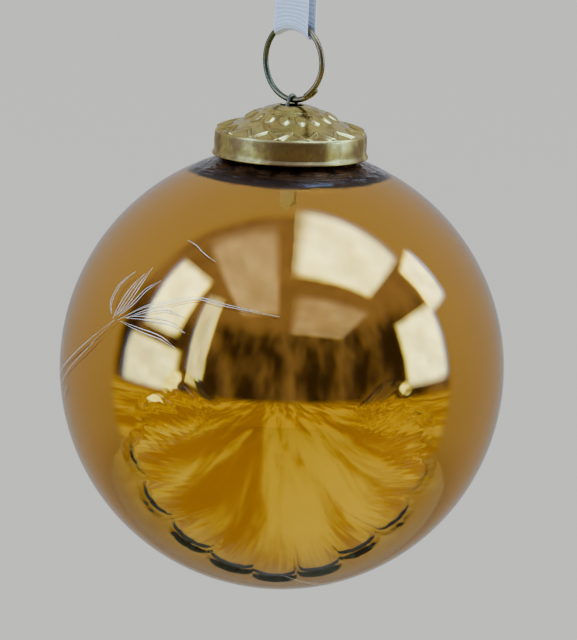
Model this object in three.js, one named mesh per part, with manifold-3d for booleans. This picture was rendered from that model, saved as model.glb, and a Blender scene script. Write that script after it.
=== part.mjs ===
// Glass ball ornament: a blown glass ball with a brass cap, hung by a split ring on a ribbon loop.
// Millimetres, +Z up. The origin is the inside top of the ribbon loop, where a hook bears.
// The ring lies in the XZ plane, and the ribbon's width runs along X.

import * as THREE from "three";
import Module from "manifold-3d";
import { mergeVertices } from "three/addons/utils/BufferGeometryUtils.js";

// Driving dimensions
const BALL_RADIUS = 50;
const GLASS_WALL = 1.8;
const NECK_RADIUS = 14;
const NECK_FILLET = 3.5;
const CAP_RIM_RADIUS = 17.4;
const CAP_SKIRT_RADIUS = 17;
const CAP_SKIRT_HEIGHT = 5.7;
const CAP_HEIGHT = 11.4;
const CAP_SHEET = 0.6;
const CAP_HOLE_RADIUS = 2.7;
const RING_RADIUS = 8.5; // to the middle of the wire
const RING_WIRE = 1.25;
const CLIP_WIRE = 0.8;
const RIBBON_WIDTH = 10;
const RIBBON_THICKNESS = 0.8;
const RIBBON_DROP = 52; // from the hook to the middle of the ring's wire at its top
const HOOK_RADIUS = 4; // the round top of the loop
const RING_ABOVE_CAP = 0.35; // from the crown to the ring's wire
const NECK_BELOW_SHOULDER = 0.2; // the glass lip, inside the cap
const GAP = 0.3; // between pieces that touch

// Heights of the main pieces
const RING_Z = -RIBBON_DROP - RING_RADIUS;
const EYE_Z = RING_Z - RING_RADIUS;
const CAP_TOP_Z = EYE_Z - RING_WIRE / 2 - RING_ABOVE_CAP;
const CAP_RIM_Z = CAP_TOP_Z - CAP_HEIGHT;
const RIM_ABOVE_CENTRE = 48.3;
const BALL_Z = CAP_RIM_Z - RIM_ABOVE_CENTRE;

const AROUND_BALL = 48;
const AROUND_CAP = 48;

const glass = new THREE.MeshStandardMaterial({ color: 0xc8923c, roughness: 0.05, metalness: 0.9 });
const agedBrass = new THREE.MeshStandardMaterial({ color: 0x9c8a52, roughness: 0.4, metalness: 0.9 });
const wireBrass = new THREE.MeshStandardMaterial({ color: 0x6f6a48, roughness: 0.35, metalness: 0.9 });
const darkWire = new THREE.MeshStandardMaterial({ color: 0x4a4238, roughness: 0.45, metalness: 0.8 });
const grosgrain = new THREE.MeshStandardMaterial({ color: 0xdfe4ea, roughness: 0.85, metalness: 0 });

const wasm = await Module();
wasm.setup();

function toSolid(geometry) {
  const bare = geometry.clone();
  bare.deleteAttribute("normal");
  bare.deleteAttribute("uv");
  const merged = mergeVertices(bare, 1e-4);
  return new wasm.Manifold(new wasm.Mesh({
    numProp: 3,
    vertProperties: new Float32Array(merged.attributes.position.array),
    triVerts: new Uint32Array(merged.index.array),
  }));
}

function toGeometry(solid) {
  const mesh = solid.getMesh();
  const geometry = new THREE.BufferGeometry();
  geometry.setAttribute("position", new THREE.BufferAttribute(new Float32Array(mesh.vertProperties), 3));
  geometry.setIndex(new THREE.BufferAttribute(new Uint32Array(mesh.triVerts), 1));
  geometry.computeVertexNormals();
  return geometry;
}

function namedMesh(name, geometry, material, z = 0) {
  const mesh = new THREE.Mesh(geometry, material);
  mesh.name = name;
  mesh.position.z = z;
  return mesh;
}

// Points of an arc in the (radius, height) plane, both ends included.
function arcPoints(centre, radius, fromAngle, toAngle, steps) {
  const points = [];
  for (let i = 0; i <= steps; i += 1) {
    const angle = fromAngle + ((toAngle - fromAngle) * i) / steps;
    points.push(new THREE.Vector2(
      centre.x + radius * Math.cos(angle),
      centre.y + radius * Math.sin(angle),
    ));
  }
  return points;
}

// A lathe about Z. The profile is in (radius, height), with the material on its left as it rises.
function latheAboutZ(profile, segments) {
  return new THREE.LatheGeometry(profile, segments).rotateX(Math.PI / 2);
}

// The ball is a spherical shell whose wall turns up through a fillet into a short open neck.
function glassBall() {
  const innerRadius = BALL_RADIUS - GLASS_WALL;
  const neckInner = NECK_RADIUS - GLASS_WALL;
  const filletX = NECK_RADIUS + NECK_FILLET;
  const filletZ = Math.sqrt((BALL_RADIUS + NECK_FILLET) ** 2 - filletX ** 2);
  const shoulderAngle = Math.atan2(filletZ, filletX);
  const neckTop = RIM_ABOVE_CENTRE + CAP_SKIRT_HEIGHT - NECK_BELOW_SHOULDER;
  const innerAngle = Math.acos(neckInner / innerRadius);
  const zero = new THREE.Vector2(0, 0);
  const outside = arcPoints(zero, BALL_RADIUS, -Math.PI / 2, shoulderAngle, 24);
  outside[0].x = 0;
  const fillet = arcPoints(
    new THREE.Vector2(filletX, filletZ), NECK_FILLET, shoulderAngle - Math.PI, -Math.PI, 4,
  );
  const lip = [new THREE.Vector2(NECK_RADIUS, neckTop), new THREE.Vector2(neckInner, neckTop)];
  const inside = arcPoints(zero, innerRadius, innerAngle, -Math.PI / 2, 22);
  inside[inside.length - 1].x = 0;
  const profile = [...outside, ...fillet.slice(1), ...lip, ...inside];
  return latheAboutZ(profile, AROUND_BALL);
}

// The cap is one pressing: a flared rim, an upright skirt and a low cone with a hole in its crown.
function ornamentCap() {
  const outside = [
    [CAP_RIM_RADIUS, 0],
    [CAP_RIM_RADIUS - 0.3, 0.4],
    [CAP_SKIRT_RADIUS, 1],
    [CAP_SKIRT_RADIUS, CAP_SKIRT_HEIGHT - 0.7],
    [CAP_SKIRT_RADIUS - 0.2, CAP_SKIRT_HEIGHT - 0.15],
    [CAP_SKIRT_RADIUS - 0.8, CAP_SKIRT_HEIGHT + 0.4],
    [11.6, CAP_HEIGHT - 3.8],
    [7.5, CAP_HEIGHT - 1.6],
    [4.6, CAP_HEIGHT - 0.35],
    [CAP_HOLE_RADIUS, CAP_HEIGHT],
  ];
  const inside = [
    [CAP_HOLE_RADIUS, CAP_HEIGHT - CAP_SHEET],
    [4.5, CAP_HEIGHT - 0.35 - CAP_SHEET],
    [7.3, CAP_HEIGHT - 1.6 - CAP_SHEET],
    [11.4, CAP_HEIGHT - 3.8 - CAP_SHEET],
    [CAP_SKIRT_RADIUS - 1.1, CAP_SKIRT_HEIGHT - 0.2],
    [CAP_SKIRT_RADIUS - CAP_SHEET, CAP_SKIRT_HEIGHT - 0.8],
    [CAP_SKIRT_RADIUS - CAP_SHEET, 1],
    [CAP_RIM_RADIUS - 0.3 - CAP_SHEET, 0.4],
    [CAP_RIM_RADIUS - CAP_SHEET, 0],
  ];
  const points = [...outside, ...inside, outside[0]];
  return latheAboutZ(points.map(([r, z]) => new THREE.Vector2(r, z)), AROUND_CAP);
}

// The ring's wire makes a little over one turn, so its two ends pass side by side near the bottom.
class SplitRingCurve extends THREE.Curve {
  static START = THREE.MathUtils.degToRad(33);
  static END = THREE.MathUtils.degToRad(408);
  static BLEND = THREE.MathUtils.degToRad(55);
  static ASIDE = RING_WIRE / 2 + 0.07;

  getPoint(t, target = new THREE.Vector3()) {
    const { START, END, BLEND, ASIDE } = SplitRingCurve;
    const angle = START + (END - START) * t; // from straight down, towards +X
    const nearStart = 1 - THREE.MathUtils.smoothstep(angle - START, 0, BLEND);
    const nearEnd = 1 - THREE.MathUtils.smoothstep(END - angle, 0, BLEND);
    return target.set(
      RING_RADIUS * Math.sin(angle),
      ASIDE * (nearEnd - nearStart),
      -RING_RADIUS * Math.cos(angle),
    );
  }
}

function wireAlong(curve, diameter, sides, steps) {
  const section = new THREE.Shape();
  section.absarc(0, 0, diameter / 2, 0, 2 * Math.PI, false);
  const curveSegments = sides / 2; // an arc takes two points for each
  return new THREE.ExtrudeGeometry(section, { curveSegments, steps, extrudePath: curve });
}

// One bent wire: an eye round the ring, and two legs that go through the cap and spring in the neck.
function springClip() {
  const eyeRadius = RING_WIRE / 2 + GAP + CLIP_WIRE / 2;
  const eye = EYE_Z - BALL_Z;
  const half = [
    [0, eye + eyeRadius],
    [eyeRadius * 0.8, eye + eyeRadius * 0.6],
    [eyeRadius * 1.02, eye - 0.1],
    [1.75, eye - 1.4],
    [2.1, eye - 2.3],
    [3.6, eye - 4.4],
    [7.6, eye - 7],
    [10.6, eye - 10],
    [11.3, 47],
    [12.3, 42],
    [12.6, 38.4],
    [11.2, 35.8],
    [9.4, 36.4],
  ];
  const toPoint = ([y, z], side) => new THREE.Vector3(0, side * y, z);
  const left = half.slice(1).reverse().map((p) => toPoint(p, -1));
  const right = half.map((p) => toPoint(p, 1));
  const curve = new THREE.CatmullRomCurve3([...left, ...right], false, "centripetal");
  return wireAlong(curve, CLIP_WIRE, 8, 76);
}

// The ribbon's outline, offset from the inside of the loop: round the wire below, round a hook above.
function loopOutline(path, offset) {
  path.absarc(0, -RIBBON_DROP, RING_WIRE / 2 + GAP + offset, Math.PI, 2 * Math.PI, false);
  path.absarc(0, -HOOK_RADIUS, HOOK_RADIUS + offset, 0, Math.PI, false);
  return path;
}

// A flat band round the loop. Its lower fold follows the ring's curve, so its edges hang lower.
function ribbonLoop() {
  const shape = loopOutline(new THREE.Shape(), RIBBON_THICKNESS);
  shape.holes.push(loopOutline(new THREE.Path(), 0));
  const geometry = new THREE.ExtrudeGeometry(shape, {
    curveSegments: 8, steps: 6, depth: RIBBON_WIDTH, bevelEnabled: false,
  });
  geometry.translate(0, 0, -RIBBON_WIDTH / 2);
  geometry.applyMatrix4(new THREE.Matrix4().set(0, 0, 1, 0, 1, 0, 0, 0, 0, 1, 0, 0, 0, 0, 0, 1));
  const position = geometry.attributes.position;
  for (let i = 0; i < position.count; i += 1) {
    const x = position.getX(i);
    const z = position.getZ(i);
    if (z < -RIBBON_DROP / 2) {
      position.setZ(i, z - (RING_RADIUS - Math.sqrt(RING_RADIUS ** 2 - x ** 2)));
    }
  }
  return geometry;
}

// The overhand knot above the loop, with the ribbon's two cut ends standing out of it.
function ribbonKnot() {
  const knotHeight = 6.4;
  const tailLength = 13;
  const lump = new THREE.SphereGeometry(1, 16, 10).scale(5.2, 3.6, knotHeight / 2);
  let solid = toSolid(lump);
  for (const side of [-1, 1]) {
    const tail = new THREE.BoxGeometry(RIBBON_WIDTH, RIBBON_THICKNESS, tailLength);
    tail.translate(0, 0, tailLength / 2);
    tail.rotateX(-side * 0.5);
    solid = solid.add(toSolid(tail));
  }
  return toGeometry(solid).translate(0, 0, RIBBON_THICKNESS + GAP + knotHeight / 2);
}

const ornament = new THREE.Group();
const ball = new THREE.Group();
ball.position.z = BALL_Z;
ball.add(namedMesh("glass_ball", glassBall(), glass));
ball.add(namedMesh("ornament_cap", ornamentCap(), agedBrass, RIM_ABOVE_CENTRE));
ball.add(namedMesh("spring_clip", springClip(), darkWire));
ornament.add(ball);
ornament.add(namedMesh(
  "hanging_ring", wireAlong(new SplitRingCurve(), RING_WIRE, 10, 64), wireBrass, RING_Z,
));
ornament.add(namedMesh("ribbon_loop", ribbonLoop(), grosgrain));
ornament.add(namedMesh("ribbon_knot", ribbonKnot(), grosgrain));

export default ornament;
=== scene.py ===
"""Glass ball ornament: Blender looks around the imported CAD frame. Lengths are in metres."""

import math

import bpy
import numpy as np
from mathutils import Matrix, Vector


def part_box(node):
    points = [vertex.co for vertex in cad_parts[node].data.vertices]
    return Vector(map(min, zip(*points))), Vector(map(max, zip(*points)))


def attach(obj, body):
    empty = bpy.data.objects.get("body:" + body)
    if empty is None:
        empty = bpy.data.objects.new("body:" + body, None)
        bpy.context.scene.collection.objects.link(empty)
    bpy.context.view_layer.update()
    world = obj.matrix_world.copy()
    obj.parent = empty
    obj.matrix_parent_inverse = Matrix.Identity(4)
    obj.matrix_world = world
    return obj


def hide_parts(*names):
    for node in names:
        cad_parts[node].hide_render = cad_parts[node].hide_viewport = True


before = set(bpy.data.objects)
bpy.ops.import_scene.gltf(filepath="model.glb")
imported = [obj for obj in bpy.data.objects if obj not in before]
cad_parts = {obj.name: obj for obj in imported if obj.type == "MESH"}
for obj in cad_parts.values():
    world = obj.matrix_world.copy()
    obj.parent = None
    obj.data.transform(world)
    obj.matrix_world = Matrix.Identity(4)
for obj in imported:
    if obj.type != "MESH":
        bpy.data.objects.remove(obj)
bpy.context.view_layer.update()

MM = 0.001


# ---------------------------------------------------------------- driving sizes

def box_sides(node):
    low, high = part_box(node)
    return low, high, high - low


BALL_LOW, BALL_HIGH, _ = box_sides("glass_ball")
CAP_LOW, _, CAP_SIDES = box_sides("ornament_cap")
_, RING_HIGH, RING_SIDES = box_sides("hanging_ring")
_, _, LOOP_SIDES = box_sides("ribbon_loop")

BALL_RADIUS = 50 * MM
BALL_CENTRE = Vector((0, 0, BALL_LOW.z + BALL_RADIUS))
GLASS_WALL = 1.8 * MM
NECK_RADIUS = 14 * MM
NECK_FILLET = 3.5 * MM
NECK_TOP = BALL_HIGH.z - BALL_CENTRE.z
LINING_DEPTH = 0.05 * MM  # how far the silver stands into the wall's inner face

RING_WIRE = 1.25 * MM
CLIP_WIRE = 0.8 * MM
RING_CENTRE = Vector((0, 0, RING_HIGH.z - RING_SIDES.x / 2))
RING_RADIUS = RING_SIDES.x / 2 - RING_WIRE / 2

RIBBON_WIDTH = 10 * MM
RIBBON_THICKNESS = 0.5 * MM
RIB_PITCH = 0.82 * MM

CAMERA_AZIMUTH = 42.4
CAMERA_ELEVATION = 11.8
CAMERA_DISTANCE = 0.8
CAMERA_LENS = 199.6
CAMERA_ROLL = 2.2
AIM_RIGHT, AIM_UP = 1.5 * MM, 10.6 * MM  # the view's middle, from the ball's centre


def facing(azimuth):
    """The level direction that points from the ornament to a viewer at that azimuth."""
    a = math.radians(azimuth)
    return Vector((math.sin(a), -math.cos(a), 0))


# The axes of the stage: towards the viewer, to the viewer's right, and up
FRONT = facing(CAMERA_AZIMUTH)
RIGHT = facing(CAMERA_AZIMUTH + 90)
UP = Vector((0, 0, 1))


# ---------------------------------------------------------------- camera

def make_camera():
    """Looks down at the ball a little, and leans, so that the cap tips clockwise."""
    e, roll = math.radians(CAMERA_ELEVATION), math.radians(CAMERA_ROLL)
    back = FRONT * math.cos(e) + UP * math.sin(e)
    level_up = UP * math.cos(e) - FRONT * math.sin(e)
    right = RIGHT * math.cos(roll) + level_up * math.sin(roll)
    up = level_up * math.cos(roll) - RIGHT * math.sin(roll)
    place = BALL_CENTRE + back * CAMERA_DISTANCE
    aim = BALL_CENTRE + right * AIM_RIGHT + up * AIM_UP
    z = (place - aim).normalized()
    x = up.cross(z).normalized()
    y = z.cross(x)
    data = bpy.data.cameras.new("camera")
    data.lens = CAMERA_LENS
    camera = bpy.data.objects.new("camera", data)
    turn = Matrix((x, y, z)).transposed().to_4x4()
    camera.matrix_world = Matrix.Translation(place) @ turn
    bpy.context.scene.collection.objects.link(camera)
    bpy.context.scene.camera = camera


make_camera()


# ---------------------------------------------------------------- node graphs

class Graph:
    """A short way to write a node tree."""

    def __init__(self, tree):
        self.tree = tree
        tree.nodes.clear()

    def node(self, kind, inputs=None, **settings):
        made = self.tree.nodes.new(kind)
        for name, value in settings.items():
            setattr(made, name, value)
        for name, value in (inputs or {}).items():
            self.feed(made.inputs[name], value)
        return made

    def feed(self, socket, value):
        if isinstance(value, bpy.types.NodeSocket):
            self.tree.links.new(value, socket)
        else:
            socket.default_value = value

    def coordinates(self):
        """The place on the piece, in metres."""
        return self.node("ShaderNodeTexCoord").outputs["Object"]

    def noise(self, vector, scale, detail=3.0, roughness=0.5, distortion=0.0):
        values = {"Vector": vector, "Scale": scale, "Detail": detail,
                  "Roughness": roughness, "Distortion": distortion}
        return self.node("ShaderNodeTexNoise", values).outputs["Fac"]

    def math(self, operation, a, b=0.0):
        made = self.node("ShaderNodeMath", operation=operation)
        self.feed(made.inputs[0], a)
        self.feed(made.inputs[1], b)
        return made.outputs[0]

    def step(self, value, low, high, to_low=0.0, to_high=1.0):
        """A smooth step of value between low and high."""
        values = {"Value": value, "From Min": low, "From Max": high,
                  "To Min": to_low, "To Max": to_high}
        made = self.node("ShaderNodeMapRange", values, interpolation_type="SMOOTHSTEP")
        return made.outputs["Result"]

    def mix(self, factor, a, b):
        """A blend of two colours. Sockets 0, 6 and 7 are the factor and the two colours."""
        made = self.node("ShaderNodeMix", data_type="RGBA")
        for index, value in ((0, factor), (6, a), (7, b)):
            self.feed(made.inputs[index], value)
        return made.outputs[2]

    def stretch(self, vector, scale):
        values = {"Vector": vector, "Scale": scale}
        return self.node("ShaderNodeMapping", values).outputs["Vector"]

    def axes(self, vector):
        made = self.node("ShaderNodeSeparateXYZ", {"Vector": vector})
        return made.outputs["X"], made.outputs["Y"], made.outputs["Z"]

    def along(self, vector, direction):
        """How far the vector goes in that direction."""
        made = self.node("ShaderNodeVectorMath", operation="DOT_PRODUCT")
        self.feed(made.inputs[0], vector)
        made.inputs[1].default_value = direction
        return made.outputs["Value"]

    def times(self, *values):
        product = values[0]
        for value in values[1:]:
            product = self.math("MULTIPLY", product, value)
        return product

    def attribute(self, name):
        return self.node("ShaderNodeAttribute", attribute_name=name).outputs["Fac"]

    def bump(self, height, distance):
        values = {"Height": height, "Distance": distance, "Strength": 1.0}
        return self.node("ShaderNodeBump", values).outputs["Normal"]


def rgb(red, green, blue):
    return (red, green, blue, 1.0)


def principled(name, make):
    """A material with one Principled shader; make(graph) returns its socket values."""
    material = bpy.data.materials.new(name)
    material.use_nodes = True
    graph = Graph(material.node_tree)
    output = graph.node("ShaderNodeOutputMaterial")
    shader = graph.node("ShaderNodeBsdfPrincipled", make(graph))
    graph.tree.links.new(shader.outputs[0], output.inputs["Surface"])
    return material


# ---------------------------------------------------------------- materials

GLASS_TINT = rgb(0.93, 0.74, 0.38)
LINING_GOLD = rgb(0.78, 0.53, 0.15)
WHITE = rgb(1.0, 1.0, 1.0)
COPPER_GLINT = rgb(1.0, 0.62, 0.40)
# Heights above the ball's centre
LINING_EDGE = 43.0 * MM  # where the silver ends
NECK_RINGS_FROM, NECK_RINGS_FULL = 44.4 * MM, 46.2 * MM
NECK_RINGS_REACH = 5.5 * MM  # the level circle that the rings' pattern is sampled on
BOARD_STRETCH = 0.14  # the grain changes this much slower along the boards than across them


def neck_rings(g, place):
    """Rings left by the blowing, long round the neck. Returns them and where they show."""
    x, y, z = g.axes(place)
    radius = g.math("POWER", g.math("ADD", g.times(x, x), g.times(y, y)), 0.5)
    share = g.math("DIVIDE", NECK_RINGS_REACH, radius)
    sample = {"X": g.times(x, share), "Y": g.times(y, share), "Z": radius}
    around = g.node("ShaderNodeCombineXYZ", sample)
    rings = g.noise(around.outputs[0], 850, 3, 0.6, 0.3)
    height = g.math("SUBTRACT", z, BALL_CENTRE.z)
    return rings, g.step(height, NECK_RINGS_FROM, NECK_RINGS_FULL)


def amber_glass(g):
    """Clear amber glass with a faint haze, a few specks, and rings under the neck."""
    place = g.coordinates()
    rings, near_neck = neck_rings(g, place)
    haze = g.noise(place, 60, 4)
    specks = g.times(g.step(g.noise(place, 1500, 2), 0.69, 0.73), g.step(haze, 0.45, 0.65))
    tint = g.mix(g.noise(place, 25), GLASS_TINT, rgb(0.90, 0.70, 0.34))
    return {
        "Base Color": tint,
        "Roughness": g.math("ADD", g.times(haze, 0.02), g.times(specks, 0.25)),
        "Transmission Weight": 1.0,
        "IOR": 1.5,
        "Specular Tint": g.mix(near_neck, WHITE, COPPER_GLINT),
        "Normal": g.bump(g.times(rings, near_neck), 1.5 * MM),
    }


def silver_lining(g):
    """Gold-toned silver with a ragged top edge; above it the bare zone is near-black, painted shade
    for the unlit inside of the ball, with copper glints.
    """
    place = g.coordinates()
    height = g.math("SUBTRACT", g.axes(place)[2], BALL_CENTRE.z)
    ragged = g.times(g.noise(place, 90, 3), 1.0 * MM)
    bare = g.step(g.math("ADD", height, ragged), LINING_EDGE + 0.5 * MM, LINING_EDGE + 1.0 * MM)
    rings, near_neck = neck_rings(g, place)
    copper = g.times(g.step(rings, 0.44, 0.54), near_neck)
    cloud = g.noise(place, 90, 3)
    gold = g.mix(cloud, LINING_GOLD, rgb(0.75, 0.49, 0.13))
    # painted shade: the near-black colour of the bare zone stands for the unlit inside of the ball
    # seen through unsilvered glass
    painted_cavity_shade = g.mix(cloud, rgb(0.05, 0.025, 0.012), rgb(0.15, 0.07, 0.03))
    bare_zone_shade_and_copper = g.mix(copper, painted_cavity_shade, rgb(0.95, 0.52, 0.30))
    ripple = g.math("ADD", g.times(rings, near_neck, 30.0), g.noise(place, 120, 2))
    return {
        "Base Color": g.mix(bare, gold, bare_zone_shade_and_copper),
        "Metallic": 1.0,
        "Roughness": g.math("ADD", g.math("MULTIPLY", bare, 0.25), 0.025),
        "Normal": g.bump(ripple, 0.02 * MM),
    }


def frosted_cut(g):
    """The bright, grainy floor of a wheel cut."""
    place = g.coordinates()
    grain = g.noise(place, 2500, 3)
    return {
        "Base Color": g.mix(grain, rgb(0.62, 0.50, 0.34), rgb(0.92, 0.86, 0.76)),
        "Roughness": g.step(grain, 0.3, 0.7, 0.2, 0.45),
        "Metallic": 0.5,
        "Specular IOR Level": 0.8,
        "Normal": g.bump(grain, 0.04 * MM),
    }


def aged_brass(g):
    """Brass worn bright on what stands out, brown with age in what lies low, and painted shade
    darkening the slopes at the feet of the raised shapes.
    """
    place = g.coordinates()
    relief = g.attribute("relief")
    skirt = g.attribute("skirt")
    broad = g.noise(place, 110, 4, 0.6, 0.6)
    blotch = g.step(g.noise(place, 210, 5, 0.65, 1.2), 0.44, 0.66)
    fine = g.noise(place, 1100, 4, 0.7)
    scratch = g.noise(g.stretch(place, (1, 1, 0.06)), 1500, 2)
    bright = g.mix(broad, rgb(0.80, 0.66, 0.23), rgb(0.48, 0.38, 0.12))
    brown = g.mix(fine, rgb(0.19, 0.10, 0.05), rgb(0.34, 0.22, 0.09))
    worn = g.times(blotch, g.step(relief, -0.1, 0.25, 0.75, 0.1))
    streaks = g.noise(g.stretch(place, (1, 1, 0.5)), 150, 5, 0.6, 0.4)
    stain = g.times(g.step(g.math("ADD", broad, streaks), 0.75, 1.18), skirt, 0.95)
    # painted shade: the slopes round the foot of each boss and ridge are darkened as if in shadow
    painted_crease_shade = g.times(g.step(relief, 0.0, 0.1), g.step(relief, 0.2, 0.5, 0.7, 0.0))
    patina_and_crease_shade = g.math("MAXIMUM", g.math("MAXIMUM", worn, stain), painted_crease_shade)
    return {
        "Base Color": g.mix(patina_and_crease_shade, bright, brown),
        "Metallic": 1.0,
        "Roughness": g.math("ADD", g.step(patina_and_crease_shade, 0, 1, 0.19, 0.30), g.times(skirt, 0.16)),
        "Normal": g.bump(g.math("ADD", g.times(scratch, skirt), fine), 0.03 * MM),
    }


def ring_brass(g):
    """Thin brass wire, greenish on one side of the ring and brown on the other."""
    place = g.coordinates()
    tarnish = g.noise(place, 260, 4, 0.6)
    pits = g.noise(place, 1800, 3, 0.7)
    side = g.step(g.axes(place)[0], -6 * MM, 6 * MM)
    green = g.mix(tarnish, rgb(0.20, 0.18, 0.10), rgb(0.11, 0.115, 0.07))
    brown = g.mix(tarnish, rgb(0.36, 0.26, 0.13), rgb(0.15, 0.105, 0.055))
    return {
        "Base Color": g.mix(side, green, brown),
        "Metallic": 0.9,
        "Roughness": g.step(pits, 0.3, 0.7, 0.24, 0.36),
        "Normal": g.bump(pits, 0.012 * MM),
    }


def dark_wire(g):
    """Dull iron wire with a little rust."""
    place = g.coordinates()
    rust = g.noise(place, 900, 4, 0.7)
    return {
        "Base Color": g.mix(rust, rgb(0.16, 0.15, 0.10), rgb(0.30, 0.25, 0.16)),
        "Metallic": 0.85,
        "Roughness": g.step(rust, 0.3, 0.7, 0.3, 0.55),
        "Normal": g.bump(rust, 0.03 * MM),
    }


def grosgrain(g):
    """Polyester grosgrain: a warp of fine yarns over round ribs, cool white."""
    place = g.coordinates()
    yarns = g.noise(g.stretch(place, (1, 1, 0.12)), 5200, 2)
    fluff = g.noise(place, 700, 3)
    groove = g.attribute("groove")
    light = g.mix(fluff, rgb(0.86, 0.86, 0.89), rgb(0.92, 0.92, 0.93))
    # painted shade: the cloth is darkened in the grooves between the ribs as if shadowed, and a little
    # by the yarns' own tone
    shade = g.math("ADD", g.times(groove, 0.36), g.times(yarns, 0.16))
    return {
        "Base Color": g.mix(shade, light, rgb(0.42, 0.47, 0.56)),
        "Roughness": g.step(yarns, 0.3, 0.7, 0.62, 0.8),
        "Sheen Weight": 0.25,
        "Sheen Roughness": 0.4,
        "Subsurface Weight": 0.1,
        "Subsurface Scale": 0.5 * MM,
        "Subsurface Radius": (1.0, 1.0, 1.0),
        "Normal": g.bump(yarns, 0.03 * MM),
    }


def boards(g, right, front):
    """Pale boards that run towards the viewer. right and front are metres from the ball."""
    at = g.node("ShaderNodeCombineXYZ", {"X": right, "Y": g.times(front, BOARD_STRETCH)}).outputs[0]
    grain = g.noise(at, 9, 4, 0.6, 0.4)
    broad = g.noise(at, 2.2, 2)
    return g.step(g.math("ADD", grain, broad), 0.84, 1.14)


def pale_floor(g):
    """Plain and pale to the camera, and warm boards in the ball's mirror."""
    place = g.coordinates()
    front = g.along(place, FRONT)
    grain = boards(g, g.along(place, RIGHT), front)
    warm = g.mix(grain, rgb(0.94, 0.84, 0.33), rgb(0.54, 0.34, 0.12))
    warm = g.mix(g.step(front, -0.35, 0.10), rgb(0.50, 0.42, 0.28), warm)
    plain = g.mix(grain, rgb(0.88, 0.71, 0.485), rgb(0.83, 0.67, 0.46))
    camera_ray = g.node("ShaderNodeLightPath").outputs["Is Camera Ray"]
    return {
        "Base Color": g.mix(camera_ray, warm, plain),
        "Roughness": g.step(grain, 0.2, 0.8, 0.6, 0.75),
    }


# ---------------------------------------------------------------- mesh helpers

def mesh_object(name, vertices, faces, material, attributes=None):
    """A smooth-shaded object. attributes are {name: one number for each vertex}."""
    data = bpy.data.meshes.new(name)
    data.from_pydata([tuple(v) for v in vertices], [], [tuple(map(int, f)) for f in faces])
    data.shade_smooth()
    data.materials.append(material)
    for key, values in (attributes or {}).items():
        data.attributes.new(key, "FLOAT", "POINT").data.foreach_set("value", values)
    data.update()
    made = bpy.data.objects.new(name, data)
    bpy.context.scene.collection.objects.link(made)
    return made


def grid_faces(rows, columns, close_rows=False, close_columns=False, first=0):
    """Quads over a grid of vertices numbered row by row."""
    i = np.arange(rows if close_rows else rows - 1)
    j = np.arange(columns if close_columns else columns - 1)
    i, j = np.meshgrid(i, j, indexing="ij")
    down, along = (i + 1) % rows, (j + 1) % columns
    corners = [i * columns + j, i * columns + along, down * columns + along, down * columns + j]
    return first + np.stack([c.ravel() for c in corners], axis=1)


def arc(centre, radius, start, end, steps):
    """Points of an arc in the (radius, height) plane, angles in degrees, both ends included."""
    a = np.radians(np.linspace(start, end, steps + 1))
    return np.stack([centre[0] + radius * np.cos(a), centre[1] + radius * np.sin(a)], axis=1)


def through(points, steps):
    """A Catmull-Rom line through the points, with that many steps for each span."""
    p = np.array(points, float)
    p = np.concatenate([[2 * p[0] - p[1]], p, [2 * p[-1] - p[-2]]])
    t = np.linspace(0, 1, steps, endpoint=False)[:, None]
    spans = []
    for a, b, c, d in zip(p[:-3], p[1:-2], p[2:-1], p[3:]):
        bend = (2 * a - 5 * b + 4 * c - d) * t ** 2 + (3 * b - a - 3 * c + d) * t ** 3
        spans.append(0.5 * (2 * b + (c - a) * t + bend))
    return np.concatenate(spans + [p[-2:-1]])


def smooth_step(x, low, high):
    t = np.clip((x - low) / (high - low), 0, 1)
    return t * t * (3 - 2 * t)


def profile_normals(profile, closed):
    """Unit normals to the right of a (radius, height) line."""
    if closed:
        run = np.roll(profile, -1, axis=0) - np.roll(profile, 1, axis=0)
    else:
        run = np.gradient(profile, axis=0)
    run /= np.linalg.norm(run, axis=1, keepdims=True)
    return np.stack([run[:, 1], -run[:, 0]], axis=1)


def revolve(name, profile, angles, material, rise=None, closed=True, origin=(0, 0, 0),
            attributes=None):
    """Turns a profile about Z. rise[row, column] lifts points along the profile's normal."""
    normals = profile_normals(profile, closed)
    lift = np.zeros((len(profile), len(angles))) if rise is None else rise
    radius = profile[:, :1] + normals[:, :1] * lift
    height = profile[:, 1:] + normals[:, 1:] * lift
    points = np.stack([radius * np.cos(angles), radius * np.sin(angles), height], axis=-1)
    vertices = points.reshape(-1, 3) + np.array(origin)
    rows, columns = len(profile), len(angles)
    faces = grid_faces(rows, columns, close_rows=closed, close_columns=True)
    return mesh_object(name, vertices, faces, material, attributes)


def tube(points, radius, sides, first=0):
    """A round wire along points, with slightly rounded ends. Returns vertices and faces."""
    p = np.array(points, float)
    run = np.gradient(p, axis=0)
    run /= np.linalg.norm(run, axis=1, keepdims=True)
    side = np.cross(run[0], [0.3, 0.5, 0.81])  # any direction that the wire does not run in
    a = np.linspace(0, 2 * math.pi, sides, endpoint=False)[:, None]
    burr = 0.25 * radius
    rings = []
    for index, (here, way) in enumerate(zip(p, run)):
        side = side - way * side.dot(way)
        side /= np.linalg.norm(side)
        rings.append(here + radius * (np.cos(a) * side + np.sin(a) * np.cross(way, side)))
        if index in (0, len(p) - 1):
            out = -way if index == 0 else way
            lid = here + out * burr + (rings[-1] - here) * (1 - burr / radius)
            rings = [lid] + rings if index == 0 else rings + [lid]
    vertices = np.concatenate(rings + [rings[0].mean(0)[None], rings[-1].mean(0)[None]])
    rows = len(rings)
    faces = [tuple(f) for f in grid_faces(rows, sides, close_columns=True, first=first)]
    last = first + (rows - 1) * sides
    for k in range(sides):
        n = (k + 1) % sides
        faces.append((first + rows * sides, first + n, first + k))
        faces.append((first + rows * sides + 1, last + k, last + n))
    return vertices, faces


# ---------------------------------------------------------------- blown glass

VIEW_SIDE = math.radians(CAMERA_AZIMUTH - 90)  # the polar angle of FRONT

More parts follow.
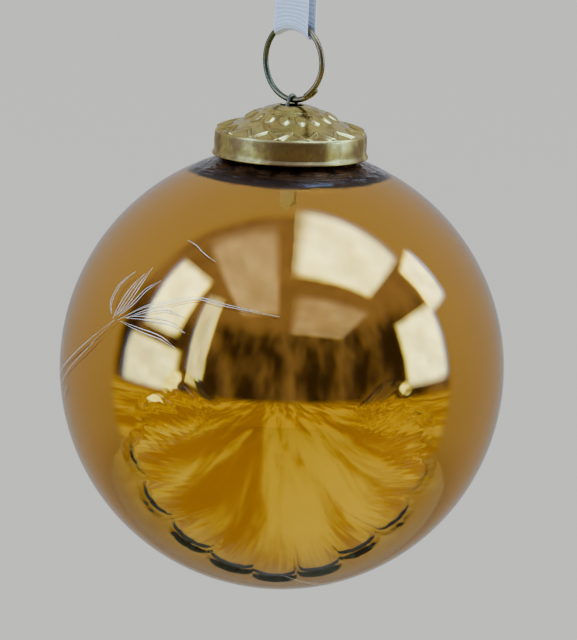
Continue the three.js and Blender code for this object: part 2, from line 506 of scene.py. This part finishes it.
# Wheel-cut petals: a fan whose middle is on the ball's front, a little below its equator
FAN_LONGITUDE, FAN_LATITUDE = 2.0, -15.0
PETAL_LENGTH = 18 * MM
PETAL_DEPTH = 0.76 * MM
PETAL_WALL = 3.2 * MM  # from the rim of a petal to its full depth
STRIATION = 0.02 * MM  # the wheel's fine radial marks
# Each petal: where it points, from straight down, how far its end is from the fan's middle,
# how wide it is, all in degrees, and its share of the full depth
PETALS = [
    (122, 38, 18, 0.5), (103.5, 42, 19, 0.6), (84, 45, 20, 0.75), (64, 43.5, 20.5, 0.85),
    (42, 42, 22.5, 1), (20, 43, 21, 1), (1.5, 45, 17.5, 1), (-17, 43, 18.5, 1),
    (-37, 39.5, 20.5, 0.9), (-58.5, 41, 21.5, 0.7), (-80, 42, 21.5, 0.55), (-101, 41, 20, 0.45),
    (-121, 38, 19, 0.4),
]


def on_ball(longitude, latitude):
    """A unit vector. Longitude is from FRONT towards RIGHT, both in degrees."""
    a, b = np.radians(longitude), np.radians(latitude)
    level = np.cos(b) * np.cos(a), np.cos(b) * np.sin(a), np.sin(b)
    axes = zip(level, (FRONT, RIGHT, UP))
    return sum(np.multiply.outer(part, np.array(axis)) for part, axis in axes)


def fan_coordinates(directions):
    """Angle from the fan's middle, and the angle around it from straight down, in degrees."""
    middle = on_ball(FAN_LONGITUDE, FAN_LATITUDE)
    down = on_ball(FAN_LONGITUDE, FAN_LATITUDE - 90)
    right = np.cross(down, middle)
    away = np.degrees(np.arccos(np.clip(directions @ middle, -1, 1)))
    around = np.degrees(np.arctan2(directions @ right, directions @ down))
    return away, around


def petal_cuts(directions):
    """How deep the wheel has cut the ball's outer face."""
    away, around = fan_coordinates(directions)
    depth = np.zeros(away.shape)
    for middle, reach, width, deep in PETALS:
        across = np.radians(around - middle) * np.sin(np.radians(away)) * BALL_RADIUS
        half = math.radians(width / 2) * math.sin(math.radians(reach)) * BALL_RADIUS
        share = np.clip(np.abs(across) / half, 0, 1)
        inward = np.radians(reach - away) * BALL_RADIUS - 0.7 * half * (1 - np.sqrt(1 - share ** 2))
        wall = smooth_step(inward, -0.2 * MM, PETAL_WALL)
        fade = np.clip(1 - inward / PETAL_LENGTH, 0, 1) ** 1.6
        hollow = 1 - 0.95 * share ** 2
        inside = np.abs(around - middle) < width / 2
        depth = np.where(inside, deep * PETAL_DEPTH * wall * fade * hollow, depth)
    marks = np.sin(1.1 * around) + 0.6 * np.sin(1.9 * around + 1.0)
    cut = smooth_step(depth, 0, 0.1 * MM) * smooth_step(away, 6, 22)
    return depth + STRIATION * marks * cut


def refined(low, high, fine_low, fine_high, coarse, fine):
    """Steps from low to high that are fine between fine_low and fine_high."""
    before = np.linspace(low, fine_low, max(2, round((fine_low - low) / coarse)), endpoint=False)
    between = np.arange(fine_low, fine_high, fine)
    after = np.linspace(fine_high, high, max(2, round((high - fine_high) / coarse)))
    return np.concatenate([before, between, after])


FINE_STEP = 0.35  # degrees between points where the petals are
FINE_LATITUDES, FINE_LONGITUDES = (-64, 12), (-54, 54)
POLE = -89.98  # degrees; the last ring of faces round the bottom


def outer_profile():
    """The sphere, the fillet under the neck, the neck and its melted lip."""
    fillet_radius = NECK_RADIUS + NECK_FILLET
    fillet_height = math.sqrt((BALL_RADIUS + NECK_FILLET) ** 2 - fillet_radius ** 2)
    shoulder = math.degrees(math.atan2(fillet_height, fillet_radius))
    latitudes = refined(POLE, shoulder, *FINE_LATITUDES, 2.5, FINE_STEP)
    sphere = BALL_RADIUS * np.stack(
        [np.cos(np.radians(latitudes)), np.sin(np.radians(latitudes))], axis=1)
    fillet = arc((fillet_radius, fillet_height), NECK_FILLET, shoulder - 180, -180, 10)[1:]
    half_wall = GLASS_WALL / 2
    lip = arc((NECK_RADIUS - half_wall, NECK_TOP - half_wall), half_wall, 0, 180, 8)
    return np.concatenate([sphere, fillet, lip]), len(sphere), latitudes


def inner_profile():
    inner = BALL_RADIUS - GLASS_WALL
    mouth = NECK_RADIUS - GLASS_WALL
    start = math.degrees(math.acos(mouth / inner))
    return arc((0, 0), inner, start, POLE, 60)


def blown_glass(material):
    outer, sphere_rows, latitudes = outer_profile()
    profile = np.concatenate([outer, inner_profile()])
    longitudes = refined(-180, 180, *FINE_LONGITUDES, 3, FINE_STEP)[:-1]
    across, along = np.meshgrid(longitudes, latitudes)
    directions = on_ball(across, along)
    rise = np.zeros((len(profile), len(longitudes)))
    rise[:sphere_rows] = -petal_cuts(directions)
    return revolve("blown_glass", profile, VIEW_SIDE + np.radians(longitudes), material,
                   rise=rise, closed=True, origin=BALL_CENTRE)


def lining_shell(material):
    """The silver on the inside of the glass. It stands a hair into the wall, so it never flickers."""
    radius = BALL_RADIUS - GLASS_WALL + LINING_DEPTH
    mouth = NECK_RADIUS - GLASS_WALL + LINING_DEPTH
    top = math.degrees(math.acos(mouth / radius))
    sphere = arc((0, 0), radius, POLE, top, 120)
    neck = np.array([[mouth, NECK_TOP - 2.5 * MM], [mouth, NECK_TOP - 1.2 * MM]])
    profile = np.concatenate([sphere, neck])
    angles = np.linspace(0, 2 * math.pi, 180, endpoint=False)
    return revolve("silver_lining", profile, angles, material, closed=False, origin=BALL_CENTRE)


# ---------------------------------------------------------------- engraved wheat spray

STROKE_HEIGHT = 0.02 * MM

# Grooves too narrow to show their two edges: widest in mm, and points as (longitude, latitude)
# in degrees
THIN_CUTS = [
    (0.28, [(-104, -16), (-89, -6), (-72, 3), (-61, 10), (-50, 18)]),
    (0.20, [(-101, -20), (-86, -9), (-70, 1.5), (-60, 8.5), (-50, 18)]),
    (0.16, [(-35, 42), (-31, 41), (-27, 39), (-22, 37)]),
    (0.26, [(-83, -9), (-79, -7), (-75, -4)]),
    (0.26, [(-77, -8), (-74, -5), (-72, -3)]),
    (0.22, [(3, -54), (16, -60), (30, -63), (45, -63)]),
    (0.18, [(8, -57), (22, -63), (38, -66), (54, -65)]),
]
# Leaves wide enough to show both edges of the groove, written the same way
LEAF_CUTS = [
    (0.8, [(-51, 18), (-50, 21), (-48, 26), (-45, 31)]),
    (0.8, [(-50, 19), (-47, 23), (-45, 28), (-43, 33)]),
    (0.7, [(-49, 19), (-45, 23), (-42, 27), (-38, 30)]),
    (0.6, [(-52, 19), (-54, 22), (-53, 27), (-49, 31)]),
    (0.5, [(-49, 18), (-40, 23), (-33, 25), (-25, 27), (-16, 26), (-8, 25), (-1, 24)]),
    (0.8, [(-47, 19), (-40, 20), (-32, 20), (-26, 18)]),
    (0.7, [(-48, 18), (-40, 17), (-33, 16), (-28, 14)]),
    (0.6, [(-46, 19), (-39, 22), (-34, 23), (-28, 22)]),
]
LEAF_EDGE = 0.15  # mm, the width of the bright edge of a leaf's groove


def leaf_edges(points, widest):
    """The two edges of a leaf's groove, as thin cuts that meet at its ends."""
    line = through(points, 3)
    run = np.gradient(line, axis=0)
    squeeze = np.cos(np.radians(line[:, 1]))
    side = np.stack([-run[:, 1] / squeeze, run[:, 0] * squeeze], axis=1)
    side /= np.hypot(side[:, :1] * squeeze[:, None], side[:, 1:])
    bulge = np.sin(math.pi * np.linspace(0, 1, len(line))) ** 0.8
    reach = math.degrees(widest / 2 * MM / BALL_RADIUS) * bulge[:, None]
    return [(LEAF_EDGE, line + side * reach), (LEAF_EDGE, line - side * reach)]


def stroke(points, widest, first):
    """One pointed cut, its floor a little proud of the glass."""
    line = through(points, 10)
    ways = on_ball(line[:, 0], line[:, 1])
    run = np.gradient(ways, axis=0)
    side = np.cross(ways, run)
    side /= np.linalg.norm(side, axis=1, keepdims=True)
    t = np.linspace(0, 1, len(line))
    half = widest / 2 * (0.25 + 0.75 * np.sin(math.pi * t) ** 0.6) * smooth_step(t, 0, 0.08)
    half = np.maximum(half * smooth_step(1 - t, 0, 0.25), 0.03 * MM)
    rows = []
    for offset, lift in ((-1, 0.2), (-0.5, 0.8), (0, 1.0), (0.5, 0.8), (1, 0.2)):
        radius = BALL_RADIUS + lift * STROKE_HEIGHT
        rows.append(ways * radius + side * (offset * half)[:, None])
    vertices = np.concatenate(rows)
    return vertices, grid_faces(len(rows), len(line), first=first)


def wheat_engraving(material):
    vertices, faces, first = [], [], 0
    edges = [edge for widest, points in LEAF_CUTS for edge in leaf_edges(points, widest)]
    for widest, points in THIN_CUTS + edges:
        v, f = stroke(points, widest * MM, first)
        vertices.append(v)
        faces.extend(f)
        first += len(v)
    placed = np.concatenate(vertices) + np.array(BALL_CENTRE)
    return mesh_object("wheat_engraving", placed, faces, material)


# ---------------------------------------------------------------- pressed cap

CAP_SHEET = 0.45 * MM
CAP_REPEATS = 16
TRIANGLE_BASE, TRIANGLE_PEAK = 16.6 * MM, 13.2 * MM
TRIANGLE_TURN = 1.7  # degrees from FRONT
BOSS_RADIUS = 9.1 * MM
BOSS_TURN = TRIANGLE_TURN + 180 / CAP_REPEATS
BOSS_RISE = 0.40  # mm
RIDGE_RISE, TRIANGLE_FALL = 0.38, 0.50  # mm, at a triangle's edge and in its middle
SKIRT_TOP = 5.7 * MM


def cap_outline():
    """(radius, height above the rim) of the outer face, from the rim up to the hole."""
    skirt = [(17.4, 0.0), (17.42, 0.3), (17.15, 0.75), (17.0, 1.2), (17.03, 3.0), (16.98, 4.5)]
    shoulder = [(16.9, 5.1), (16.6, 5.55), (16.1, 5.85)]
    dome = [(14.9, 6.3), (13.2, 6.8), (11.6, 7.5), (10.0, 8.35), (8.6, 9.2), (7.3, 9.9),
            (5.8, 10.65), (4.2, 11.15), (3.2, 11.35), (2.72, 11.3)]
    scale = np.array([CAP_SIDES.x / 2 / 17.42, CAP_SIDES.z / 11.4])
    return through(np.array(skirt + shoulder + dome), 14) * scale


def emboss(radius, turn):
    """The pressing's relief: a zigzag of triangles, and a ring of round-ended bosses."""
    pitch = 360 / CAP_REPEATS
    away = np.abs((turn - TRIANGLE_TURN + pitch / 2) % pitch - pitch / 2) / (pitch / 2)
    length = TRIANGLE_BASE - TRIANGLE_PEAK
    half = math.radians(pitch / 2) * TRIANGLE_BASE
    steep = math.hypot(1 / length, 1 / half)
    inside = ((radius - TRIANGLE_PEAK) / length - away) / steep
    within = smooth_step(radius, 12.6 * MM, 13.2 * MM)
    within = within * smooth_step(-radius, -16.95 * MM, -16.5 * MM)
    ridge = RIDGE_RISE * smooth_step(inside, -0.55 * MM, -0.1 * MM)
    ridge = ridge - TRIANGLE_FALL * np.clip((inside + 0.05 * MM) / (0.85 * MM), 0, 1)
    nearest = (turn - BOSS_TURN + pitch / 2) % pitch - pitch / 2
    across = np.radians(nearest) * radius
    along = radius - BOSS_RADIUS
    boss = np.sqrt((across / (1.35 * MM)) ** 2 + (along / (1.75 * MM)) ** 2)
    bosses = BOSS_RISE * smooth_step(-boss, -1.05, -0.45)
    groove = 0.12 * np.exp(-((radius - 6.9 * MM) / (0.5 * MM)) ** 2)
    return (ridge * within + bosses - groove) * MM


def embossed_cap(material):
    outer = cap_outline()
    turns = np.linspace(0, 360, 480, endpoint=False)
    rise = emboss(outer[:, :1], turns[None, :])
    rise *= (outer[:, 1:] > 5.5 * MM)
    normals = profile_normals(outer, False)
    inner = (outer - normals * CAP_SHEET)[::-5]
    inner[:, 1] = np.maximum(inner[:, 1], 0)
    profile = np.concatenate([outer, inner])
    full_rise = np.concatenate([rise, np.zeros((len(inner), len(turns)))])
    relief = np.concatenate([rise / (BOSS_RISE * MM), np.full((len(inner), len(turns)), -0.1)])
    on_skirt = smooth_step(-profile[:, 1], -SKIRT_TOP, -SKIRT_TOP + 1 * MM)
    skirt = np.outer(on_skirt, np.ones(len(turns)))
    return revolve("embossed_cap", profile, VIEW_SIDE + np.radians(turns), material,
                   rise=full_rise, origin=(0, 0, CAP_LOW.z),
                   attributes={"relief": relief.ravel(), "skirt": skirt.ravel()})


# ---------------------------------------------------------------- wires

RING_START, RING_END, RING_BLEND = 33, 408, 55  # degrees from straight down, towards +X


def split_ring(material):
    """One turn and a bit of wire; its two ends pass side by side near the bottom."""
    aside = RING_WIRE / 2 + 0.07 * MM
    angle = np.linspace(RING_START, RING_END, 260)
    near_start = 1 - smooth_step(angle, RING_START, RING_START + RING_BLEND)
    near_end = smooth_step(angle, RING_END - RING_BLEND, RING_END)
    a = np.radians(angle)
    sideways = aside * (near_end - near_start)
    points = np.stack([RING_RADIUS * np.sin(a), sideways, -RING_RADIUS * np.cos(a)], axis=1)
    vertices, faces = tube(points + np.array(RING_CENTRE), RING_WIRE / 2, 20)
    return mesh_object("split_ring", vertices, faces, material)


def wire_clip(material):
    """An arch over the ring's wire, and two legs that go through the cap and spread in the ball."""
    eye_radius = RING_WIRE / 2 + 0.03 * MM + CLIP_WIRE / 2
    eye = RING_CENTRE.z - RING_RADIUS
    crown = [(0, eye_radius), (0.8 * eye_radius, 0.6 * eye_radius), (1.02 * eye_radius, -0.1 * MM)]
    leg = [(1.75, -1.4), (2.1, -2.3), (3.6, -4.4), (7.6, -7), (10.6, -10), (11.3, -13.675),
           (12.3, -18.675), (12.6, -22.275), (11.2, -24.875), (9.4, -24.275)]
    half = crown + [(y * MM, z * MM) for y, z in leg]
    whole = [(-y, z) for y, z in reversed(half[1:])] + half
    line = through([(0, y, eye + z) for y, z in whole], 10)
    vertices, faces = tube(line, CLIP_WIRE / 2, 14)
    return mesh_object("wire_clip", vertices, faces, material)


# ---------------------------------------------------------------- ribbon

RIB_HEIGHT = 0.09 * MM
SELVEDGE = 0.35 * MM
SOLID_HALF = 0.4 * MM  # half the thickness of the plain solid that the ribbon stands for
BOTTOM_BEND = RING_WIRE / 2 + 0.3 * MM + SOLID_HALF
TOP_BEND = LOOP_SIDES.y / 2 - SOLID_HALF
RIBBON_DROP = RING_CENTRE.z + RING_RADIUS
STEPS_PER_RIB = 9
STRANDS_PART = 0.45  # the share of the way up where the strands begin to part for the hook
# Points across the ribbon, as shares of half its width, closer together at the selvedges
EDGE_SHARES = [0.925, 0.95, 0.985, 1]
ACROSS = np.concatenate([[-share for share in reversed(EDGE_SHARES)],
                         np.linspace(-0.88, 0.88, 17), EDGE_SHARES])


def ribbon_band(line, outward, widthways, width, closed=False, first=0, sag=None):
    """A ribbed ribbon along a line. Returns vertices, faces and each point's depth in a groove."""
    run = np.linalg.norm(np.diff(line, axis=0), axis=1)
    travelled = np.concatenate([[0], np.cumsum(run)])
    rib = 0.5 + 0.5 * np.cos(2 * math.pi * travelled / RIB_PITCH)
    inner_edge = width / 2 - SELVEDGE
    plain = smooth_step(np.abs(ACROSS) * width / 2, inner_edge - 0.2 * MM, inner_edge)
    height = rib[:, None] * (1 - plain) + 0.5 * plain
    sheets, grooves = [], []
    for face in (1, -1):
        lift = face * (RIBBON_THICKNESS / 2 - RIB_HEIGHT * (1 - height))
        lift = lift * np.where(np.abs(ACROSS) > 0.999, 0.3, 1.0)
        middle = line[:, None, :] + widthways[:, None, :] * (ACROSS * width / 2)[None, :, None]
        if sag is not None:
            middle = middle + sag(ACROSS * width / 2, line)
        sheets.append(middle + outward[:, None, :] * lift[:, :, None])
        grooves.append(np.broadcast_to((1 - rib[:, None]) * (1 - plain), height.shape))
    ring = np.concatenate([sheets[0], sheets[1][:, ::-1]], axis=1)
    groove = np.concatenate([grooves[0], grooves[1][:, ::-1]], axis=1)
    columns = ring.shape[1]
    faces = grid_faces(len(line), columns, close_rows=closed, close_columns=True, first=first)
    faces = [tuple(f) for f in faces]
    if not closed:
        last = first + (len(line) - 1) * columns
        faces.append(tuple(range(first, first + columns))[::-1])
        faces.append(tuple(range(last, last + columns)))
    return ring.reshape(-1, 3), faces, groove.ravel()


def resampled(points, step):
    """The same line with even steps."""
    run = np.linalg.norm(np.diff(points, axis=0), axis=1)
    travelled = np.concatenate([[0], np.cumsum(run)])
    count = max(4, round(travelled[-1] / step))
    even = np.linspace(0, travelled[-1], count + 1)
    return np.stack([np.interp(even, travelled, column) for column in points.T], axis=1)


def loop_line():
    """Round the ring's wire below and round the hook above, in the (y, z) plane."""
    below = arc((0, RIBBON_DROP), BOTTOM_BEND, 180, 360, 40)
    above = arc((0, -TOP_BEND + SOLID_HALF), TOP_BEND, 0, 180, 60)
    t = np.linspace(0, 1, 82)[1:-1]
    spread = BOTTOM_BEND + (TOP_BEND - BOTTOM_BEND) * smooth_step(t, STRANDS_PART, 1)
    climb = RIBBON_DROP + t * (above[0, 1] - RIBBON_DROP)
    strand = np.stack([spread, climb], axis=1)
    whole = np.concatenate([below, strand, above, strand[::-1] * (-1, 1), below[:1]])
    length = np.linalg.norm(np.diff(whole, axis=0), axis=1).sum()
    ribs = round(length / RIB_PITCH)
    return resampled(whole, length / (ribs * STEPS_PER_RIB)), length


def sag(across, at):
    """The fold lies on the round ring, so its edges hang lower; the pull fades up the strands."""
    drop = RING_RADIUS - np.sqrt(RING_RADIUS ** 2 - across ** 2)
    share = smooth_step(-at[:, 2], -RIBBON_DROP - 5 * MM, -RIBBON_DROP - 0.5 * MM)
    fall = np.zeros((len(at), len(across), 3))
    fall[:, :, 2] = -share[:, None] * drop[None, :]
    return fall


def grosgrain_loop(material):
    """The hanging loop, and its length round the ring and the hook."""
    line, length = loop_line()
    flat = line[:-1]
    way = np.roll(flat, -1, axis=0) - np.roll(flat, 1, axis=0)
    way /= np.linalg.norm(way, axis=1, keepdims=True)
    zero = np.zeros(len(flat))
    points = np.stack([zero, flat[:, 0], flat[:, 1]], axis=1)
    outward = np.stack([zero, way[:, 1], -way[:, 0]], axis=1)
    widthways = np.stack([zero + 1, zero, zero], axis=1)
    vertices, faces, groove = ribbon_band(
        points, outward, widthways, RIBBON_WIDTH, closed=True, sag=sag)
    made = mesh_object("grosgrain_loop", vertices, faces, material, {"groove": groove})
    return made, length


def wrap_line(tilt, height, wide, deep):
    """One turn of ribbon round the two strands, as a tilted oval."""
    a = np.linspace(0, 2 * math.pi, 220, endpoint=False)
    x, y = wide * np.cos(a), deep * np.sin(a)
    z = height + x * math.tan(math.radians(tilt))
    points = np.stack([x, y, z], axis=1)
    outward = np.stack([np.cos(a) / wide, np.sin(a) / deep, 0 * a], axis=1)
    outward /= np.linalg.norm(outward, axis=1, keepdims=True)
    way = np.roll(points, -1, axis=0) - np.roll(points, 1, axis=0)
    way /= np.linalg.norm(way, axis=1, keepdims=True)
    return points, outward, np.cross(outward, way)


def tail_line(side):
    """A cut end of the ribbon that rises out of the knot and leans away."""
    t = np.linspace(0, 1, 110)
    y = side * (0.9 * MM + 5.6 * MM * t ** 1.5)
    z = 3.2 * MM + 11.4 * MM * t
    x = side * 0.8 * MM * t
    points = np.stack([x, y, z], axis=1)
    way = np.gradient(points, axis=0)
    way /= np.linalg.norm(way, axis=1, keepdims=True)
    twist = np.radians(side * 14 * t)
    widthways = np.stack([np.cos(twist), np.sin(twist), 0 * t], axis=1)
    outward = np.cross(way, widthways)
    outward /= np.linalg.norm(outward, axis=1, keepdims=True)
    return points, outward, widthways


def grosgrain_knot(material):
    """Two crossed turns of ribbon pulled narrow, with the two cut ends standing out of them."""
    vertices, faces, grooves, first = [], [], [], 0
    parts = [(wrap_line(16, 3.0 * MM, 5.0 * MM, 2.6 * MM), 4.6 * MM, True),
             (wrap_line(-20, 4.6 * MM, 4.7 * MM, 3.0 * MM), 4.2 * MM, True),
             (tail_line(1), RIBBON_WIDTH, False),
             (tail_line(-1), RIBBON_WIDTH, False)]
    for (points, outward, widthways), width, closed in parts:
        v, f, groove = ribbon_band(
            points, outward, widthways, width, closed=closed, first=first)
        vertices.append(v)
        faces.extend(f)
        grooves.append(groove)
        first += len(v)
    return mesh_object("grosgrain_knot", np.concatenate(vertices), faces, material,
                       {"groove": np.concatenate(grooves)})


# ---------------------------------------------------------------- stage

CEILING = 1.2  # above the ball's centre
FLOOR_DROP = 0.42
FLOOR_RADIUS = 0.85
FLOOR_FORWARD = 0.35
PANEL_DISTANCE = 1.5
PANEL_EDGE = 0.14  # the share of a softbox's side over which it fades
PANEL_EDGE_GLOW = 0.12


def soften(data):
    """Fades a softbox towards its edges, with a little unevenness."""
    data.use_nodes = True
    g = Graph(data.node_tree)
    place = g.node("ShaderNodeNewGeometry").outputs["Parametric"]
    glow = g.noise(place, 2.5, 2)
    glow = g.step(glow, 0.3, 0.7, 0.75, 1.2)
    for side in g.axes(place)[:2]:
        glow = g.times(glow, g.step(side, 0, PANEL_EDGE, PANEL_EDGE_GLOW, 1.0),
                       g.step(side, 1 - PANEL_EDGE, 1.0, 1.0, PANEL_EDGE_GLOW))
    light = g.node("ShaderNodeEmission", {"Strength": glow})
    output = g.node("ShaderNodeOutputLight")
    g.tree.links.new(light.outputs[0], output.inputs["Surface"])


def softbox(name, width, height, strength, colour, place):
    """A rectangular lamp of even brightness, out of the camera's sight. place is its matrix."""
    data = bpy.data.lights.new(name, "AREA")
    data.shape = "RECTANGLE"
    data.size, data.size_y = width, height
    data.energy = strength * data.size * data.size_y * math.pi
    data.color = colour
    lamp = bpy.data.objects.new(name, data)
    lamp.matrix_world = place
    lamp.visible_camera = False
    soften(data)
    bpy.context.scene.collection.objects.link(lamp)


def soft_panel(name, right, front, strength, colour):
    """A level softbox under the ceiling. right and front are (from, to) in metres from the ball."""
    centre = BALL_CENTRE + RIGHT * sum(right) / 2 + FRONT * sum(front) / 2 + UP * CEILING
    turn = Matrix((-RIGHT, FRONT, UP)).transposed().to_4x4()
    softbox(name, right[1] - right[0], front[1] - front[0], strength, colour,
            Matrix.Translation(centre) @ turn)


def side_panel(name, azimuth, elevation, strength, colour):
    """An upright softbox that faces the ball. azimuth and elevation are (from, to) in degrees."""
    rise = sum(elevation) / 2
    width, height = (2 * PANEL_DISTANCE * math.tan(math.radians((high - low) / 2))
                     for low, high in (azimuth, elevation))
    way = Vector(on_ball(sum(azimuth) / 2, rise))
    aim = way.to_track_quat("Z", "Y").to_matrix().to_4x4()
    softbox(name, width * math.cos(math.radians(rise)), height, strength, colour,
            Matrix.Translation(BALL_CENTRE + way * PANEL_DISTANCE) @ aim)


def soft_lights():
    """Ceiling panels and windows, laid out so that the mirror shows a room like the real one."""
    daylight, shade = (0.36, 0.59, 1.0), (0.36, 0.50, 1.0)
    soft_panel("ceiling_right", (0.06, 1.25), (-0.24, 0.76), 6.0, daylight)
    soft_panel("ceiling_left", (-0.78, -0.04), (0.0, 1.6), 1.1, shade)
    soft_panel("ceiling_far", (0.1, 1.5), (1.0, 2.3), 0.85, shade)
    side_panel("window_left", (-86, -56), (17, 49), 6.5, daylight)
    side_panel("window_low", (-90, -54), (-7, 14), 4.5, daylight)
    side_panel("door_left", (-51, -39), (-2, 42), 3.0, daylight)
    side_panel("window_high", (93, 112), (21, 43), 6.5, daylight)
    side_panel("window_right", (66, 96), (-3, 27), 6.5, daylight)


def room_light():
    """Even grey behind the ornament; dim walls, a pale floor and a pale ceiling before it."""
    world = bpy.data.worlds.new("room")
    world.use_nodes = True
    bpy.context.scene.world = world
    g = Graph(world.node_tree)
    way = g.node("ShaderNodeTexCoord").outputs["Generated"]
    front = g.along(way, FRONT)
    up = g.axes(way)[2]
    clutter = g.noise(g.stretch(way, (1, 1, 0.45)), 5, 2, 0.5)
    dim = g.mix(g.step(clutter, 0.3, 0.75), rgb(0.06, 0.055, 0.07), rgb(0.30, 0.30, 0.40))
    # Where the line of sight meets the floor's level, so that the boards run on past the disc
    reach = g.math("DIVIDE", FLOOR_DROP, g.math("MAXIMUM", g.times(up, -1.0), 0.02))
    grain = boards(g, g.times(g.along(way, RIGHT), reach), g.times(front, reach))
    floor = g.mix(grain, rgb(0.70, 0.76, 0.43), rgb(0.40, 0.35, 0.20))
    ceiling = g.mix(clutter, rgb(0.22, 0.20, 0.26), rgb(0.42, 0.42, 0.55))
    room = g.mix(g.step(up, -0.16, -0.08), floor, dim)
    room = g.mix(g.step(up, 0.42, 0.56), room, ceiling)
    wall = g.mix(g.step(up, -0.6, 0.5), rgb(0.39, 0.40, 0.39), rgb(0.47, 0.50, 0.56))
    wall = g.mix(g.step(up, -0.8, -0.35), rgb(0.22, 0.21, 0.18), wall)
    seen = g.mix(g.step(front, -0.18, -0.06), wall, room)
    backdrop = g.mix(g.step(up, -0.5, 0.2), rgb(0.61, 0.61, 0.59), rgb(0.57, 0.575, 0.56))
    camera_ray = g.node("ShaderNodeLightPath").outputs["Is Camera Ray"]
    colour = g.mix(camera_ray, seen, backdrop)
    light = g.node("ShaderNodeBackground", {"Color": colour, "Strength": 1.0})
    output = g.node("ShaderNodeOutputWorld")
    g.tree.links.new(light.outputs[0], output.inputs["Surface"])


def floor_disc(material):
    """A pale disc under the ornament."""
    centre = BALL_CENTRE + FRONT * FLOOR_FORWARD - UP * FLOOR_DROP
    turn = np.linspace(0, 2 * math.pi, 128, endpoint=False)
    level = np.stack([np.cos(turn), np.sin(turn), 0 * turn], axis=1)
    ring = np.array(centre) + FLOOR_RADIUS * level
    made = mesh_object("floor", ring, [tuple(range(len(turn)))], material)


# ---------------------------------------------------------------- assembly

def place(piece, body, slot, *nodes):
    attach(piece, body)
    if nodes:
        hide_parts(*nodes)
    return piece


place(blown_glass(principled("amber_glass", amber_glass)), "ball", "mirrored_glass", "glass_ball")
place(lining_shell(principled("silver_lining", silver_lining)), "ball", "mirrored_glass")
place(wheat_engraving(principled("frosted_cut", frosted_cut)), "ball", "mirrored_glass")
place(embossed_cap(principled("aged_brass", aged_brass)), "ball", "cap_brass", "ornament_cap")
place(wire_clip(principled("dark_wire", dark_wire)), "clip", "clip_wire", "spring_clip")
place(split_ring(principled("ring_brass", ring_brass)), "ring", "ring_brass", "hanging_ring")

ribbon_cloth = principled("grosgrain", grosgrain)
knot = place(grosgrain_knot(ribbon_cloth), "ribbon", "ribbon", "ribbon_knot")
loop, loop_length = grosgrain_loop(ribbon_cloth)
place(loop, "ribbon", "ribbon", "ribbon_loop")

floor_disc(principled("pale_floor", pale_floor))
soft_lights()
room_light()
bpy.context.scene.view_settings.view_transform = "AgX"
bpy.context.scene.view_settings.look = "AgX - Medium High Contrast"
